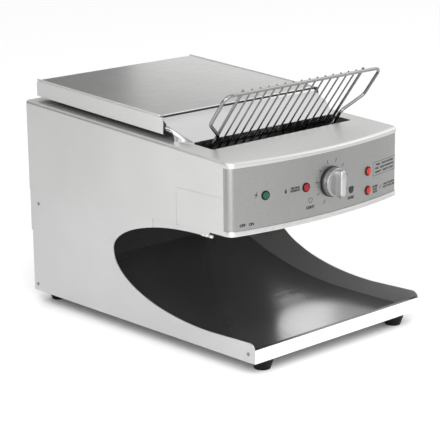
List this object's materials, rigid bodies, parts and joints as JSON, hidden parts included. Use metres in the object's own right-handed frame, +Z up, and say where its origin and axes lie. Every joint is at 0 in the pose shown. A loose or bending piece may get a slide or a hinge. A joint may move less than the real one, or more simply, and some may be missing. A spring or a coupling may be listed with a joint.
{
  "type": "conveyor toaster",
  "caption": "Counter-top conveyor toaster: slatted wire feed rack, orbiting wire rack between heating elements, curved return slide, warming plate and bowed control front.",
  "frame": {"origin": "on the counter, below the middle of the body", "axes": "+X to the viewer's right facing the front, -Y to the front, +Z up"},
  "size_m": [0.412, 0.596, 0.4608],
  "materials": {
    "stainless": "satin brushed",
    "chrome_wire": "bright plated",
    "inner_steel": "dull",
    "reflector_steel": "polished",
    "screw_steel": "satin",
    "black_rubber": "matte",
    "black_plastic": "fine matte",
    "silver_knob": "metallised",
    "green_lens": "glossy",
    "red_lens": "glossy",
    "orange_button": "glossy",
    "chrome_ring": "bright plated",
    "element_sheath": "heat-darkened",
    "ceramic": null,
    "bronze": "sintered",
    "motor_paint": "semi-gloss black",
    "circuit_board": "board green"
  },
  "bodies": {
    "housing": {"left_side_panel": "stainless", "right_side_panel": "stainless", "base_plate": "stainless", "base_back_panel": "stainless", "toast_slide": "stainless", "tray_lip": "stainless", "body_hood": "stainless", "rear_cover": "stainless", "feed_chute": "stainless", "warming_plate": "stainless", "plate_rails": "inner_steel", "front_cover": "stainless", "fascia_panel": "stainless", "control_floor": "inner_steel", "left_frame_plate": "inner_steel", "right_frame_plate": "inner_steel", "left_chamber_wall": "inner_steel", "right_chamber_wall": "inner_steel", "chamber_spacers": "inner_steel", "foot_front_left": "black_rubber", "foot_rear_left": "black_rubber", "foot_front_right": "black_rubber", "foot_rear_right": "black_rubber", "foot_screws": "screw_steel", "side_screws": "screw_steel", "rear_screws": "screw_steel", "lower_guide_rack": "chrome_wire", "upper_guard_rack": "chrome_wire", "rack_sockets": "inner_steel", "motor_bracket": "inner_steel", "gear_motor": "motor_paint", "crank_bushes": "bronze", "front_elements": "element_sheath", "rear_elements": "element_sheath", "element_insulators": "ceramic", "front_reflector": "reflector_steel", "rear_reflector": "reflector_steel", "speed_control": "black_plastic", "power_lamp": "green_lens", "heating_lamp": "red_lens", "mode_button_housing": "chrome_ring", "saver_button_housing": "chrome_ring", "switch_housing": "black_plastic", "fan_frame": "black_plastic", "cord_grommet": "black_rubber", "control_board": "circuit_board"},
    "feed_rack_body": {"feed_rack": "chrome_wire"},
    "walking_rack_body": {"walking_rack": "chrome_wire", "drive_arm": "inner_steel"},
    "motor_crank_body": {"motor_crank": "inner_steel"},
    "upper_left_crank_body": {"upper_left_crank": "inner_steel"},
    "lower_left_crank_body": {"lower_left_crank": "inner_steel"},
    "upper_right_crank_body": {"upper_right_crank": "inner_steel"},
    "lower_right_crank_body": {"lower_right_crank": "inner_steel"},
    "fan_body": {"fan_impeller": "black_plastic"},
    "speed_knob_body": {"speed_knob": "silver_knob"},
    "mode_button_body": {"mode_button": "orange_button"},
    "saver_button_body": {"saver_button": "orange_button"},
    "power_rocker_body": {"power_rocker": "black_plastic"}
  },
  "joints": [
    {"name": "drive_motor_turn", "type": "hinge", "parent": "housing", "child": "motor_crank_body", "pos_m": [0, 0.062, 0.26198], "axis": [1, 0, 0], "continuous": true},
    {"name": "rack_pivot", "type": "hinge", "parent": "motor_crank_body", "child": "walking_rack_body", "pos_m": [0, 0.05721, 0.25837], "axis": [1, 0, 0], "continuous": true},
    {"name": "upper_left_crank_turn", "type": "hinge", "parent": "housing", "child": "upper_left_crank_body", "pos_m": [0, -0.11187, 0.29954], "axis": [1, 0, 0], "continuous": true},
    {"name": "upper_right_crank_turn", "type": "hinge", "parent": "housing", "child": "upper_right_crank_body", "pos_m": [0, -0.11187, 0.29954], "axis": [1, 0, 0], "continuous": true},
    {"name": "lower_left_crank_turn", "type": "hinge", "parent": "housing", "child": "lower_left_crank_body", "pos_m": [0, -0.0565, 0.22607], "axis": [1, 0, 0], "continuous": true},
    {"name": "lower_right_crank_turn", "type": "hinge", "parent": "housing", "child": "lower_right_crank_body", "pos_m": [0, -0.0565, 0.22607], "axis": [1, 0, 0], "continuous": true},
    {"name": "fan_spin", "type": "hinge", "parent": "housing", "child": "fan_body", "pos_m": [-0.095, 0.285, 0.3], "axis": [0, 1, 0], "continuous": true},
    {"name": "speed_dial", "type": "hinge", "parent": "housing", "child": "speed_knob_body", "pos_m": [0.01, -0.26694, 0.28822], "axis": [0.0116, -0.9999, 0], "range_deg": [-149, 149]},
    {"name": "mode_press", "type": "slide", "parent": "housing", "child": "mode_button_body", "axis": [-0.126, 0.992, 0], "range_m": [0, 0.0025], "stiffness_N_per_m": 300, "springref_m": -0.001},
    {"name": "saver_press", "type": "slide", "parent": "housing", "child": "saver_button_body", "axis": [-0.126, 0.992, 0], "range_m": [0, 0.0025], "stiffness_N_per_m": 300, "springref_m": -0.001},
    {"name": "power_switch", "type": "hinge", "parent": "housing", "child": "power_rocker_body", "pos_m": [-0.176, -0.152, 0.22842], "axis": [0, 1, 0], "range_deg": [-20, 0]},
    {"name": "feed_rack_lift", "type": "slide", "parent": "housing", "child": "feed_rack_body", "axis": [0, -0.6018, 0.7986], "range_m": [0, 0.08]}
  ],
  "couplings": [
    {"joint": "rack_pivot", "follows": "drive_motor_turn", "ratio": -1},
    {"joint": "upper_left_crank_turn", "follows": "drive_motor_turn", "ratio": 1},
    {"joint": "upper_right_crank_turn", "follows": "drive_motor_turn", "ratio": 1},
    {"joint": "lower_left_crank_turn", "follows": "drive_motor_turn", "ratio": 1},
    {"joint": "lower_right_crank_turn", "follows": "drive_motor_turn", "ratio": 1}
  ]
}
